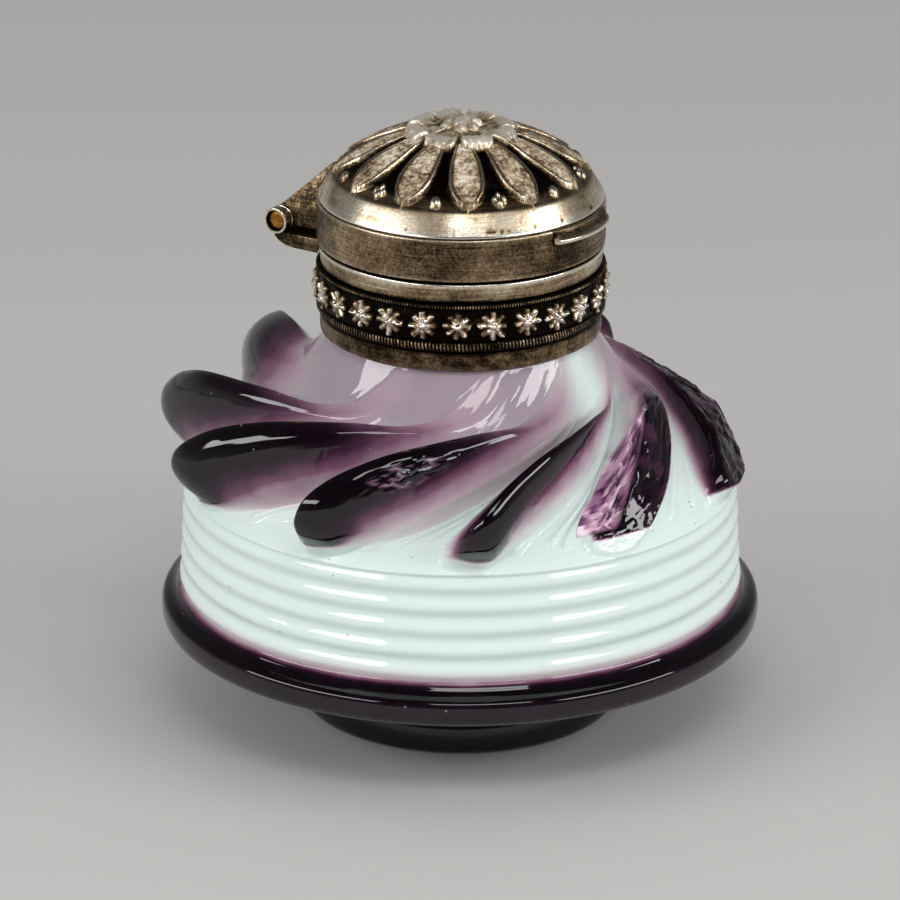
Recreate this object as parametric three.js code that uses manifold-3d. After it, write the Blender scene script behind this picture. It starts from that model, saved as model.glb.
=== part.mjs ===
import * as THREE from 'three';
import { mergeVertices } from 'three/addons/utils/BufferGeometryUtils.js';
import { ConvexGeometry } from 'three/addons/geometries/ConvexGeometry.js';
import Module from 'manifold-3d';

// Travel scent bottle: a cased glass bottle with ten swirled petals on its shoulder, a silver
// collar set in plaster round its neck, a hinged domed silver lid and a ground glass stopper.
// Millimetres, +Z up. The origin is the centre of the flat ground foot, the thumb-lift is at
// -Y and the hinge at +Y.

// Bottle, outside
const footRadius = 16.3;
const footHeight = 4.2;
const footEase = 0.7;
const footFlare = 1.2;
const flangeLow = 9.2;
const flangeBand = 2.45;
const flangeReach = 1.8;
const flangeEase = 0.8;
const coveHeight = 1.1;
const coveReach = 0.5;
const drumFootRadius = 28.2;
const drumTaper = 0.6;
const ringCount = 5;
const ringPitch = 2.2;
const ringRelief = 0.4;
const rimEase = 0.4;
const shoulderRise = 15.75;
const shoulderCurl = 0.35;
const neckLedge = 0.9;
const ledgeDrop = 0.3;
const glassChamfer = 0.6;

// Bottle, inside
const floorThickness = 7;
const floorDish = 0.8;
const floorBend = 5;
const drumWall = 4;
const shoulderWall = 5.4;
const throatHeight = 3;
const boreRadius = 4.4;
const seatRadius = 5.2;
const seatTaper = 0.05;
const seatLedge = 1;
const neckTopRadius = 12.3;
const neckRise = 7.3;

// Swirled petals of glass
const petalCount = 10;
const firstPetalTip = -69;
const petalTailRadius = 14.5;
const petalOverhang = 3.2;
const petalHalfWidth = 5.4;
const petalHalfHeight = 3.5;
const petalTailDrop = 3.9;
const petalNoseHeight = 5.2;
const petalSwirl = 55;
const petalTailScale = 0.35;
const petalBelly = 2.4;
const petalChin = 1.2;

// Damage on three neighbouring petals. Each broken face starts this far in from the nose and
// this deep below the crest, and falls outwards at its slope in degrees
const breaks = [
  { petal: 0, inset: 14.5, depth: 1.6, slope: 28 },
  { petal: 0, inset: 6, depth: 3, slope: 55 },
  { petal: 1, inset: 16, depth: 1.5, slope: 45 },
  { petal: 9, inset: 6.3, depth: 0.3, slope: 58 }
];

// Stopper
const plugLength = 8.5;
const plugClearance = 0.12;
const stopperHeadRadius = 7.4;
const stopperHeadHeight = 3.2;
const stopperHeadEase = 0.6;
const stopperHeadSlant = 1.6;
const stopperSeatGap = 0.2;

// Collar: strips and wires round an inner tube
const cementThickness = 0.7;
const cementInset = 0.6;
const tubeWall = 0.35;
const tubeLift = 0.3;
const solderGap = 0.05;
const skirtHeight = 2;
const skirtWall = 0.5;
const skirtEase = 0.2;
const lowerWireHeight = 1.1;
const upperWireHeight = 0.6;
const wireWall = 0.9;
const wireEase = 0.2;
const starRowHeight = 3.2;
const starStripWall = 0.75;
const starCount = 26;
const starRelief = 0.75;
const starSunk = 0.2;
const starGap = 0.1;
const starPointShare = 0.3;
const firstStar = 4.1;
const rimHeight = 1.95;
const rimWall = 0.7;
const rimFlare = 0.25;
const bezelRise = 1;

// Lid
const seamGap = 0.25;
const bezelClearance = 0.35;
const lidWall = 0.5;
const lidBandHeight = 4.3;
const bandEase = 0.15;
const borderWidth = 1.4;
const borderRise = 2.3;
const domeRise = 4.5;
const lidPetalCount = 12;
const firstLidPetal = 6;
const lidPetalRelief = 0.5;
const lidPetalInset = 0.2;
const lidPetalFill = 0.86;
const rosetteLeaves = 8;
const rosetteRadius = 5.8;
const rosetteHeight = 1.2;
const buttonRadius = 1.6;
const buttonRise = 0.6;
const plateEdge = 0.35;
const leafLength = 1.3;
const leafRelief = 0.4;
const linerThickness = 0.4;
const linerDepth = 0.5;
const linerCrown = 1.2;

// Thumb-lift
const liftHalfAngle = 24;
const liftReach = 1.05;
const liftEndReach = 0.2;
const liftHeight = 2.2;
const liftLip = 0.7;

// Hinge
const pinRadius = 0.95;
const pinClearance = 0.08;
const knuckleWall = 0.3;
const knuckleLength = 1;
const pinShort = 0.2;
const leafHalfWidth = 6;
const leafHip = 0.62;
const leafRoot = 5;
const leafStep = 0.3;
const pinReach = 3.1;
const pinDrop = 0.4;
const plateThickness = 1.4;
const plateDrop = 0.35;
const plateShort = 0.9;
const cutClearance = 0.15;

const glassSegments = 60;
const ringSegments = 48;
const hiddenSegments = 30;
const smallSegments = 24;

// Radii and heights that follow from the sizes above
const flangeRadius = drumFootRadius + flangeReach;
const drumRimRadius = drumFootRadius - drumTaper;
const petalNoseRadius = drumRimRadius + petalOverhang;
const petalTailHeight = shoulderRise - petalTailDrop;
const neckRadius = neckTopRadius + neckLedge;
const tubeInner = neckTopRadius + cementThickness;
const flangeTop = flangeLow + flangeBand;
const drumFoot = flangeTop + coveHeight;
const rimZ = drumFoot + ringCount * ringPitch;
const collarBase = rimZ + shoulderRise;
const neckTop = collarBase + neckRise;
const tubeOuter = tubeInner + tubeWall;
const stripInner = tubeOuter + solderGap;
const lowerWireBase = collarBase + skirtHeight;
const starBase = lowerWireBase + lowerWireHeight;
const upperWireBase = starBase + starRowHeight;
const rimBase = upperWireBase + upperWireHeight;
const lidRadius = tubeOuter + bezelClearance + lidWall;
const knuckleRadius = pinRadius + pinClearance + knuckleWall;
const collarTop = rimBase + rimHeight;
const lidBase = collarTop + seamGap;
const lidShoulder = lidBase + lidBandHeight;
const fieldRadius = lidRadius - borderWidth;
const fieldZ = lidShoulder + borderRise;
const domeTop = fieldZ + domeRise;
const pinY = lidRadius + pinReach;
const pinZ = lidBase + pinDrop;

const colours = {
  opal: { color: 0xd8ece8, roughness: 0.12, metalness: 0 },
  clear: { color: 0xe8f2ee, roughness: 0.08, metalness: 0 },
  plaster: { color: 0xd9d0bf, roughness: 0.9, metalness: 0 },
  silver: { color: 0xa79c88, roughness: 0.35, metalness: 1 },
  gilt: { color: 0xc9a45c, roughness: 0.3, metalness: 1 },
  brass: { color: 0xa8722c, roughness: 0.4, metalness: 1 }
};

const wasm = await Module();
wasm.setup();

const radians = (degrees) => THREE.MathUtils.degToRad(degrees);
const model = new THREE.Group();

function add(name, geometry, finish, parent = model) {
  const mesh = new THREE.Mesh(geometry, new THREE.MeshStandardMaterial(colours[finish]));
  mesh.name = name;
  parent.add(mesh);
  return mesh;
}

function bare(geometry) {
  const copy = geometry.clone();
  copy.deleteAttribute('normal');
  copy.deleteAttribute('uv');
  return mergeVertices(copy, 1e-4);
}

function toSolid(geometry) {
  const merged = bare(geometry);
  const vertProperties = new Float32Array(merged.attributes.position.array);
  const triVerts = new Uint32Array(merged.index.array);
  return new wasm.Manifold(new wasm.Mesh({ numProp: 3, vertProperties, triVerts }));
}

function toGeometry(solid) {
  const { vertProperties, triVerts } = solid.getMesh();
  const geometry = new THREE.BufferGeometry();
  geometry.setAttribute('position', new THREE.BufferAttribute(vertProperties, 3));
  geometry.setIndex(new THREE.BufferAttribute(triVerts, 1));
  geometry.computeVertexNormals();
  return geometry;
}

// Turns [radius, height] points about +Z. A profile off the axis is closed on itself.
function turned(profile, segments = ringSegments) {
  const points = profile.map(([radius, height]) => new THREE.Vector2(radius, height));
  const onAxis = points[0].x === 0 && points.at(-1).x === 0;
  if (!onAxis) points.push(points[0].clone());
  if (THREE.ShapeUtils.area(points) < 0) points.reverse();
  return new THREE.LatheGeometry(points, segments).rotateX(Math.PI / 2);
}

function ring(inner, outer, low, high, segments = ringSegments) {
  return turned([[inner, low], [outer, low], [outer, high], [inner, high]], segments);
}

// A round bar along X, hollow when inner is above zero.
function barAlongX(outer, inner, from, to) {
  const profile = inner > 0
    ? [[inner, from], [outer, from], [outer, to], [inner, to]]
    : [[0, from], [outer, from], [outer, to], [0, to]];
  return turned(profile, smallSegments).rotateY(Math.PI / 2);
}

// The white shoulder between the petals: low at the drum's rim, steep at the neck.
function shoulderZ(radius) {
  const inward = (drumRimRadius - radius) / (drumRimRadius - neckRadius);
  return rimZ + shoulderRise * ((1 - shoulderCurl) * inward + shoulderCurl * inward ** 4);
}

function bottleOutside() {
  const profile = [
    [0, 0],
    [footRadius - footEase, 0],
    [footRadius, footEase],
    [footRadius - footEase, footHeight],
    [footRadius + footFlare, footHeight + footFlare],
    [flangeRadius - flangeEase, flangeLow - flangeEase / 3],
    [flangeRadius - flangeEase / 4, flangeLow],
    [flangeRadius, flangeLow + flangeBand / 2],
    [flangeRadius - flangeEase / 2, flangeTop],
    [drumFootRadius + coveReach, flangeTop + coveReach],
    [drumFootRadius - ringRelief / 2, drumFoot]
  ];
  for (let i = 0; i < ringCount; i += 1) {
    const share = (i + 0.5) / ringCount;
    const crest = THREE.MathUtils.lerp(drumFootRadius, drumRimRadius, share);
    const low = drumFoot + i * ringPitch;
    profile.push([crest, low + ringPitch / 2]);
    if (i < ringCount - 1) profile.push([crest - ringRelief, low + ringPitch]);
  }
  const steps = 7;
  for (let i = 0; i < steps; i += 1) {
    const radius = THREE.MathUtils.lerp(drumRimRadius - rimEase, neckRadius, i / steps);
    profile.push([radius, shoulderZ(radius)]);
  }
  profile.push([neckRadius, collarBase - ledgeDrop]);
  profile.push([neckTopRadius, collarBase]);
  profile.push([neckTopRadius, neckTop - glassChamfer]);
  profile.push([neckTopRadius - glassChamfer, neckTop]);
  profile.push([0, neckTop]);
  return turned(profile, glassSegments);
}

function bottleInside() {
  const cavityRadius = drumRimRadius - drumWall;
  const wallFoot = flangeTop + floorBend / 2;
  const wallTop = rimZ - drumWall;
  const boreFoot = shoulderZ(petalTailRadius) - shoulderWall + throatHeight;
  const roof = [0.85, 0.65, 0.45].map((share) => {
    const radius = cavityRadius * share;
    return [radius, Math.min(shoulderZ(radius) - shoulderWall, boreFoot - share)];
  });
  return turned([
    [0, floorThickness],
    [cavityRadius - floorBend, flangeLow + floorDish],
    [cavityRadius - floorBend / 4, flangeTop],
    [cavityRadius, wallFoot],
    [cavityRadius, wallTop],
    ...roof,
    [boreRadius, boreFoot],
    [boreRadius, neckTop - plugLength - seatLedge],
    [seatRadius - seatTaper * plugLength, neckTop - plugLength],
    [seatRadius, neckTop],
    [seatRadius, neckTop + seatLedge],
    [0, neckTop + seatLedge]
  ], hiddenSegments);
}

// One petal: a ball drawn out along a swirling line from the neck to a nose over the rim.
function glassPetal(index) {
  const ball = bare(new THREE.SphereGeometry(1, 10, 11).rotateZ(-Math.PI / 2));
  const tip = firstPetalTip + (360 / petalCount) * index;
  const middle = (petalTailRadius + petalNoseRadius) / 2;
  const reach = (petalNoseRadius - petalTailRadius) / 2;
  const position = ball.attributes.position;
  const point = new THREE.Vector3();
  for (let i = 0; i < position.count; i += 1) {
    point.fromBufferAttribute(position, i);
    const along = (point.x + 1) / 2;
    const taper = THREE.MathUtils.lerp(petalTailScale, 1, along);
    const radius = middle + reach * point.x;
    const turn = petalSwirl * (1 - along) ** 1.5;
    const sideways = point.y * petalHalfWidth * taper;
    const angle = radians(tip + turn) + sideways / radius;
    const spine = rimZ + THREE.MathUtils.lerp(petalTailHeight, petalNoseHeight, along);
    const depth = point.z > 0 ? 1 : THREE.MathUtils.lerp(petalBelly, petalChin, along ** 6);
    const height = spine + point.z * petalHalfHeight * taper * depth;
    position.setXYZ(i, radius * Math.cos(angle), radius * Math.sin(angle), height);
  }
  let petal = toSolid(ball);
  for (const damage of breaks.filter((one) => one.petal === index)) {
    petal = petal.subtract(brokenOff(damage));
  }
  return petal;
}

// The glass that a knock took off a petal: all that stands above a sloping face.
function brokenOff({ inset, depth, slope }) {
  const start = petalNoseRadius - inset;
  const share = 1 - inset / (petalNoseRadius - petalTailRadius);
  const spine = THREE.MathUtils.lerp(petalTailHeight, petalNoseHeight, share);
  const taper = THREE.MathUtils.lerp(petalTailScale, 1, share);
  const high = rimZ + spine + petalHalfHeight * taper - depth;
  const far = 2 * petalNoseRadius;
  const low = high - (far - start) * Math.tan(radians(slope));
  return toSolid(turned([[start, high], [far, low], [far, collarTop], [start, collarTop]]));
}

function makeBottle() {
  let glass = toSolid(bottleOutside());
  for (let i = 0; i < petalCount; i += 1) glass = glass.add(glassPetal(i));
  glass = glass.subtract(toSolid(bottleInside()));
  add('glass_bottle', toGeometry(glass), 'opal');
}

function makeStopper() {
  const plugTop = seatRadius - plugClearance;
  const plugFoot = plugTop - seatTaper * plugLength;
  const headBase = neckTop + stopperSeatGap;
  const headTop = headBase + stopperHeadHeight;
  add('glass_stopper', turned([
    [0, headBase - plugLength],
    [plugFoot - stopperHeadEase / 2, headBase - plugLength],
    [plugFoot, headBase - plugLength + stopperHeadEase / 2],
    [plugTop, headBase],
    [stopperHeadRadius - stopperHeadEase, headBase],
    [stopperHeadRadius, headBase + stopperHeadEase],
    [stopperHeadRadius, headTop - stopperHeadSlant],
    [stopperHeadRadius - stopperHeadSlant, headTop],
    [0, headTop]
  ], hiddenSegments), 'clear');
}

function makeCollar() {
  const cementInner = neckTopRadius + solderGap;
  const cementLow = collarBase + cementInset;
  const cementHigh = neckTop - cementInset;
  const tubeLow = collarBase + tubeLift;
  add('neck_cement', ring(cementInner, tubeInner - solderGap, cementLow, cementHigh), 'plaster');
  add('collar_tube', ring(tubeInner, tubeOuter, tubeLow, collarTop + bezelRise), 'silver');
  add('collar_skirt', turned([
    [stripInner, collarBase],
    [stripInner + skirtWall - skirtEase, collarBase],
    [stripInner + skirtWall, collarBase + skirtEase],
    [stripInner + skirtWall, lowerWireBase - solderGap],
    [stripInner, lowerWireBase - solderGap]
  ]), 'silver');
  makeWire('milled_wire_lower', lowerWireBase, lowerWireHeight);
  makeWire('milled_wire_upper', upperWireBase, upperWireHeight);
  makeStarStrip();
  add('collar_rim', turned([
    [stripInner, rimBase],
    [stripInner + rimWall - rimFlare, rimBase],
    [stripInner + rimWall - rimFlare / 2, rimBase + rimHeight / 2],
    [stripInner + rimWall, collarTop - bandEase],
    [stripInner + rimWall - bandEase, collarTop],
    [stripInner, collarTop]
  ]), 'silver');
}

function makeWire(name, base, height) {
  const outer = stripInner + wireWall;
  add(name, turned([
    [stripInner, base],
    [outer - wireEase, base],
    [outer, base + height / 3],
    [outer, base + (height * 2) / 3],
    [outer - wireEase, base + height - solderGap],
    [stripInner, base + height - solderGap]
  ]), 'silver');
}

// Blunt eight-sided stars side by side on a flat strip.
function makeStarStrip() {
  const outer = stripInner + starStripWall;
  const top = upperWireBase - solderGap;
  let strip = toSolid(ring(stripInner, outer, starBase, top));
  const radius = (upperWireBase - starBase) / 2 - starGap;
  const length = starRelief + starSunk;
  for (let i = 0; i < starCount; i += 1) {
    const star = new THREE.CylinderGeometry(radius * starPointShare, radius, length, 8);
    star.rotateZ(-Math.PI / 2);
    star.translate(outer + length / 2 - starSunk, 0, (starBase + top) / 2);
    star.rotateZ(radians(firstStar + (360 * i) / starCount));
    strip = strip.add(toSolid(star));
  }
  add('star_strip', toGeometry(strip), 'silver');
}

// Height of the lid's dome over a radius, a ball's cap from the border to the top.
function domeZ(radius) {
  const ball = (fieldRadius ** 2 + domeRise ** 2) / (2 * domeRise);
  return domeTop - ball + Math.sqrt(Math.max(ball ** 2 - radius ** 2, 0));
}

function lidPetal(index) {
  const length = fieldRadius - rosetteRadius;
  const middle = (fieldRadius + rosetteRadius) / 2 - lidPetalInset;
  const halfWidth = Math.sin(Math.PI / lidPetalCount) * middle * lidPetalFill;
  const petal = bare(new THREE.SphereGeometry(1, 8, 8).rotateZ(-Math.PI / 2));
  const position = petal.attributes.position;
  const point = new THREE.Vector3();
  for (let i = 0; i < position.count; i += 1) {
    point.fromBufferAttribute(position, i);
    const radius = middle + point.x * length * 0.5;
    const widening = 1 + 0.3 * point.x;
    const height = domeZ(radius) + point.z * lidPetalRelief;
    position.setXYZ(i, radius, point.y * halfWidth * widening, height);
  }
  petal.rotateZ(radians(firstLidPetal + (360 * index) / lidPetalCount));
  return toSolid(petal);
}

function makeDome() {
  const steps = 6;
  const outside = [];
  const inside = [];
  for (let i = 0; i <= steps; i += 1) {
    const radius = (fieldRadius * (steps - i)) / steps;
    outside.push([radius, domeZ(radius)]);
    if (i < steps) inside.unshift([radius * 0.97, domeZ(radius) - lidWall]);
  }
  const profile = [
    [lidRadius - lidWall - bandEase, lidShoulder + solderGap],
    [lidRadius - bandEase, lidShoulder + solderGap],
    [lidRadius - 2 * bandEase, lidShoulder + 2 * bandEase],
    ...outside,
    [0, domeTop - lidWall],
    ...inside
  ];
  let dome = toSolid(turned(profile));
  for (let i = 0; i < lidPetalCount; i += 1) dome = dome.add(lidPetal(i));
  return toGeometry(dome);
}

// The raised flower on top of the lid: a dished plate, a round button and a ring of leaves.
function makeRosette() {
  const plate = rosetteRadius - leafLength;
  const under = (radius) => domeZ(radius) + solderGap;
  const top = under(0) + rosetteHeight;
  let rosette = toSolid(turned([
    [0, under(0)],
    [plate / 2, under(plate / 2)],
    [plate, under(plate)],
    [plate, under(plate) + plateEdge],
    [buttonRadius, top - buttonRise],
    [buttonRadius, top - buttonRise / 2],
    [0, top]
  ], smallSegments));
  const lean = Math.atan2(domeZ(0) - domeZ(plate), plate) * 2;
  for (let i = 0; i < rosetteLeaves; i += 1) {
    const leaf = new THREE.SphereGeometry(1, 8, 6).scale(leafLength, leafLength, leafRelief);
    leaf.rotateY(lean).translate(plate, 0, under(plate) + plateEdge + leafRelief / 2);
    leaf.rotateZ((2 * Math.PI * (i + 0.5)) / rosetteLeaves);
    rosette = rosette.add(toSolid(leaf));
  }
  return toGeometry(rosette);
}

// The crescent that a thumb pushes up: widest at its lip, drawn in towards the lid's shoulder.
function makeThumbLift() {
  const inner = lidRadius + solderGap;
  const half = radians(liftHalfAngle);
  const rows = [
    [0, 0.55],
    [liftLip * 0.35, 1],
    [liftLip, 0.95],
    [liftHeight, 0.15]
  ];
  const steps = 12;
  const base = lidShoulder - liftHeight;
  const corners = [];
  const triangles = [];
  const stride = rows.length * 2;
  for (let i = 0; i <= steps; i += 1) {
    const share = (2 * i) / steps - 1;
    const angle = -Math.PI / 2 + half * share;
    const bulge = liftEndReach + (liftReach - liftEndReach) * (1 - share ** 2) ** 0.4;
    const section = rows.map(([rise, reach]) => [inner + bulge * reach, base + rise]);
    for (const [rise] of [...rows].reverse()) section.push([inner, base + rise]);
    for (const [radius, height] of section) {
      corners.push(radius * Math.cos(angle), radius * Math.sin(angle), height);
    }
  }
  for (let i = 0; i < steps; i += 1) {
    for (let j = 0; j < stride; j += 1) {
      const a = i * stride + j;
      const b = i * stride + ((j + 1) % stride);
      triangles.push(a, a + stride, b, b, a + stride, b + stride);
    }
  }
  const last = steps * stride;
  for (let j = 1; j < stride - 1; j += 1) {
    triangles.push(0, j, j + 1);
    triangles.push(last, last + j + 1, last + j);
  }
  const geometry = new THREE.BufferGeometry();
  geometry.setAttribute('position', new THREE.Float32BufferAttribute(corners, 3));
  geometry.setIndex(triangles);
  geometry.computeVertexNormals();
  return geometry;
}

function makeLid() {
  const inner = lidRadius - lidWall;
  add('lid_band', turned([
    [inner, lidBase],
    [lidRadius - bandEase, lidBase],
    [lidRadius, lidBase + bandEase],
    [lidRadius, lidShoulder - bandEase],
    [lidRadius - bandEase, lidShoulder],
    [inner, lidShoulder]
  ]), 'silver');
  add('lid_dome', makeDome(), 'silver');
  add('lid_rosette', makeRosette(), 'silver');
  add('thumb_lift', makeThumbLift(), 'silver');
  const linerRadius = inner - solderGap;
  const linerZ = lidShoulder - linerDepth;
  add('lid_liner', turned([
    [0, linerZ + linerCrown - linerThickness],
    [linerRadius * 0.6, linerZ + linerCrown * 0.7 - linerThickness],
    [linerRadius, linerZ - linerThickness],
    [linerRadius, linerZ],
    [linerRadius * 0.6, linerZ + linerCrown * 0.7],
    [0, linerZ + linerCrown]
  ]), 'gilt');
}

// Cuts a hinge piece clear of the round things next to it.
function cutClear(solid, ...cutters) {
  return cutters.reduce((left, cutter) => left.subtract(toSolid(cutter)), solid);
}

function hingeHole(radius, from, to) {
  return barAlongX(radius, 0, from, to).translate(0, pinY, pinZ);
}

function makeHinge() {
  const end = leafHalfWidth + cutClearance + knuckleLength;
  const near = leafHalfWidth + cutClearance;
  const holeRadius = pinRadius + pinClearance;
  const left = barAlongX(knuckleRadius, holeRadius, -end, -near);
  const right = barAlongX(knuckleRadius, holeRadius, near, end);
  add('hinge_knuckle_left', left.translate(0, pinY, pinZ), 'silver');
  add('hinge_knuckle_right', right.translate(0, pinY, pinZ), 'silver');
  const middle = barAlongX(knuckleRadius, holeRadius, -leafHalfWidth, leafHalfWidth);
  add('lid_knuckle', middle.translate(0, pinY, pinZ), 'silver');
  add('hinge_pin', hingeHole(pinRadius, pinShort - end, end - pinShort), 'brass');
  add('hinge_plate', makePlate(end), 'silver');
  add('lid_hinge_leaf', makeLeaf(), 'silver');
}

// The collar's bearer plate, hollowed along its back edge for the knuckles.
function makePlate(end) {
  const plateTop = collarTop - plateDrop;
  const inside = stripInner + rimWall + solderGap;
  const plateBack = pinY - plateShort;
  const plateFront = inside * Math.cos(Math.asin(end / inside));
  const depth = plateBack - plateFront;
  const slab = new THREE.BoxGeometry(2 * end, depth, plateThickness);
  slab.translate(0, plateBack - depth / 2, plateTop - plateThickness / 2);
  return toGeometry(cutClear(
    toSolid(slab),
    turned([[0, 0], [inside, 0], [inside, domeTop], [0, domeTop]]),
    hingeHole(knuckleRadius + cutClearance, -2 * end, 2 * end)
  ));
}

// The lid's leaf: a wedge with hipped ends, from the lid's border down to the middle knuckle.
function makeLeaf() {
  const low = pinZ - knuckleRadius / 3;
  const root = lidRadius - leafRoot;
  const back = pinY + pinClearance;
  const crest = pinZ + knuckleRadius + pinClearance;
  const points = [];
  for (const side of [-1, 1]) {
    const wide = side * leafHalfWidth;
    points.push(new THREE.Vector3(wide, root, low), new THREE.Vector3(wide, back, low));
    points.push(new THREE.Vector3(wide, root, crest), new THREE.Vector3(wide, back, crest));
    points.push(new THREE.Vector3(wide * leafHip, root, fieldZ - leafStep));
    points.push(new THREE.Vector3(wide * leafHip, fieldRadius, fieldZ - leafStep));
  }
  const clearance = lidRadius + cutClearance;
  return toGeometry(cutClear(
    toSolid(new ConvexGeometry(points)),
    turned([
      [0, 0],
      [clearance, 0],
      [clearance, lidShoulder],
      [fieldRadius + cutClearance, fieldZ],
      [0, domeTop]
    ]),
    hingeHole(knuckleRadius + cutClearance, -2 * leafHalfWidth, 2 * leafHalfWidth)
  ));
}

makeBottle();
makeStopper();
makeCollar();
makeLid();
makeHinge();

export default model;
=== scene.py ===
# %% [markdown]
# # A travel scent bottle: cased glass with a silver mount
#
# The bottle is white opal glass under a skin of amethyst glass. The skin is left thick on ten
# swirled petals, the flange and the foot, and is worked away everywhere else. The mount is
# silver that has gone brown in its hollows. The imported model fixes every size, so this script
# only makes surfaces and finishes that stay in the model's own space, in metres.

# %% Load the fixed frame
import math
from itertools import product

import bmesh
import bpy
import numpy as np
from mathutils import Matrix, Vector


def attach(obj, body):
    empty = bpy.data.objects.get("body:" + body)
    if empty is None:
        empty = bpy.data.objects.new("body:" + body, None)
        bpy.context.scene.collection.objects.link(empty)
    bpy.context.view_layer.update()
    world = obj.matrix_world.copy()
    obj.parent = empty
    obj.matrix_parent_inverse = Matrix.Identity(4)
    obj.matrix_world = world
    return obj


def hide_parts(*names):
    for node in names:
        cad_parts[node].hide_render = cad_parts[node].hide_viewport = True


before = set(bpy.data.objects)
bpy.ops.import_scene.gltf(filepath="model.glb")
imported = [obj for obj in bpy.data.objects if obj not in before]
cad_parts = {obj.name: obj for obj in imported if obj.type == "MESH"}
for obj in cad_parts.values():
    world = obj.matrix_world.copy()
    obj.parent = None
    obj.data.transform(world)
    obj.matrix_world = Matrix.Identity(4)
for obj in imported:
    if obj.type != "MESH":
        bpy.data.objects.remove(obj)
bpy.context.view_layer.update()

MM = .001

# %% [markdown]
# ## The camera
#
# The photograph was taken from about half a metre away with a long lens, a little above the
# bottle and from the left of its thumb-lift. The rings, the flange and the lid's edges are all
# circles, and their ellipses in the photograph fix the camera's height, pitch and lens.

# %% Place the camera
AROUND = math.radians(-57)      # from straight in front of the thumb-lift, clockwise from above
PITCH, YAW, ROLL = (math.radians(v) for v in (20.79, -.12, .17))
STANDPOINT = Vector((0, -497.1, 214.9))         # in mm, before the turn
FRAME_PIXELS, LENS_PIXELS = 900, 5332.5         # the photograph's width and the focal length
SENSOR_MM = 36

turn = Matrix.Rotation(AROUND, 3, "Z")
ahead = Vector((math.cos(PITCH) * math.sin(YAW), math.cos(PITCH) * math.cos(YAW), -math.sin(PITCH)))
side = Vector((math.cos(YAW), -math.sin(YAW), 0))
top = side.cross(ahead)
right = math.cos(ROLL) * side + math.sin(ROLL) * top
above = math.cos(ROLL) * top - math.sin(ROLL) * side
axes = Matrix((turn @ right, turn @ above, turn @ -ahead)).transposed()


def add_object(name, data):
    """A new object in the scene that shows this data."""
    item = bpy.data.objects.new(name, data)
    bpy.context.collection.objects.link(item)
    return item


camera = add_object("camera", bpy.data.cameras.new("camera"))
camera.data.sensor_width = SENSOR_MM
camera.data.lens = SENSOR_MM * LENS_PIXELS / FRAME_PIXELS
camera.data.clip_start, camera.data.clip_end = .02, 20
camera.matrix_world = Matrix.Translation(turn @ STANDPOINT * MM) @ axes.to_4x4()
bpy.context.scene.camera = camera
bpy.context.scene.view_settings.view_transform = "Standard"
print("lens", round(camera.data.lens, 1), "mm")

# %% [markdown]
# ## Colours and nodes
#
# Colours are picked as sRGB hex values, the way a colour chart gives them, and light adds up in
# linear values, so one function turns one into the other. One more function adds a node, sets
# it and joins its inputs, which keeps each finish readable as a list of steps.

# %% Colour and node helpers
def linear(code):
    shares = [int(code[i:i + 2], 16) / 255 for i in (0, 2, 4)]
    return (*(v / 12.92 if v <= .04045 else ((v + .055) / 1.055) ** 2.4 for v in shares), 1.0)


def add_node(tree, kind, inputs=None, stops=None, **settings):
    """One node. An input is a value, or the socket or the node that feeds it. A node does that
    from its first output. Stops are places and hex colours."""
    node = tree.nodes.new("ShaderNode" + kind)
    for name, value in settings.items():
        setattr(node, name, value)
    for name, value in (inputs or {}).items():
        if isinstance(value, bpy.types.Node):
            value = value.outputs[0]
        if isinstance(value, bpy.types.NodeSocket):
            tree.links.new(value, node.inputs[name])
        else:
            node.inputs[name].default_value = value
    for i, (place, code) in enumerate(stops or []):
        stop = node.color_ramp.elements[i] if i < 2 else node.color_ramp.elements.new(place)
        stop.position, stop.color = place, linear(code)
    return node


def new_finish(name, **values):
    """A material with one main shader whose plain values are set on its own sockets."""
    material = bpy.data.materials.new(name)
    material.use_nodes = True
    shader = material.node_tree.nodes["Principled BSDF"]
    for socket, value in values.items():
        shader.inputs[socket.replace("_", " ")].default_value = value
    return material, material.node_tree, shader


def feed(tree, shader, **nodes):
    """Feed the shader's sockets from the first outputs of these nodes."""
    for socket, node in nodes.items():
        tree.links.new(node.outputs[0], shader.inputs[socket.replace("_", " ")])


# %% [markdown]
# ## Floor, backdrop and studio light
#
# A plain pale floor, a backdrop that is pale near the floor and dark overhead and towards the
# photographer, as a studio is, and three soft boxes. Two stand where windows stood: low, wide
# and narrow, one far to the left and one to the right, because the bars of light on the rings
# of the glass are their mirror images. The third is smaller and higher up, and it puts the
# round lights on the petals' noses.

# %% Floor and world
floor_mesh = bpy.data.meshes.new("floor")
floor_mesh.from_pydata([(-4, -4, 0), (4, -4, 0), (4, 4, 0), (-4, 4, 0)], [], [(0, 1, 2, 3)])
floor = add_object("floor", floor_mesh)
floor_paper = new_finish("pale_studio_paper", Roughness=.9, Base_Color=linear("BEBDBB"))[0]
floor_mesh.materials.append(floor_paper)

world = bpy.data.worlds.new("studio")
bpy.context.scene.world = world
world.use_nodes = True
tree = world.node_tree
tree.nodes.clear()
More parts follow.
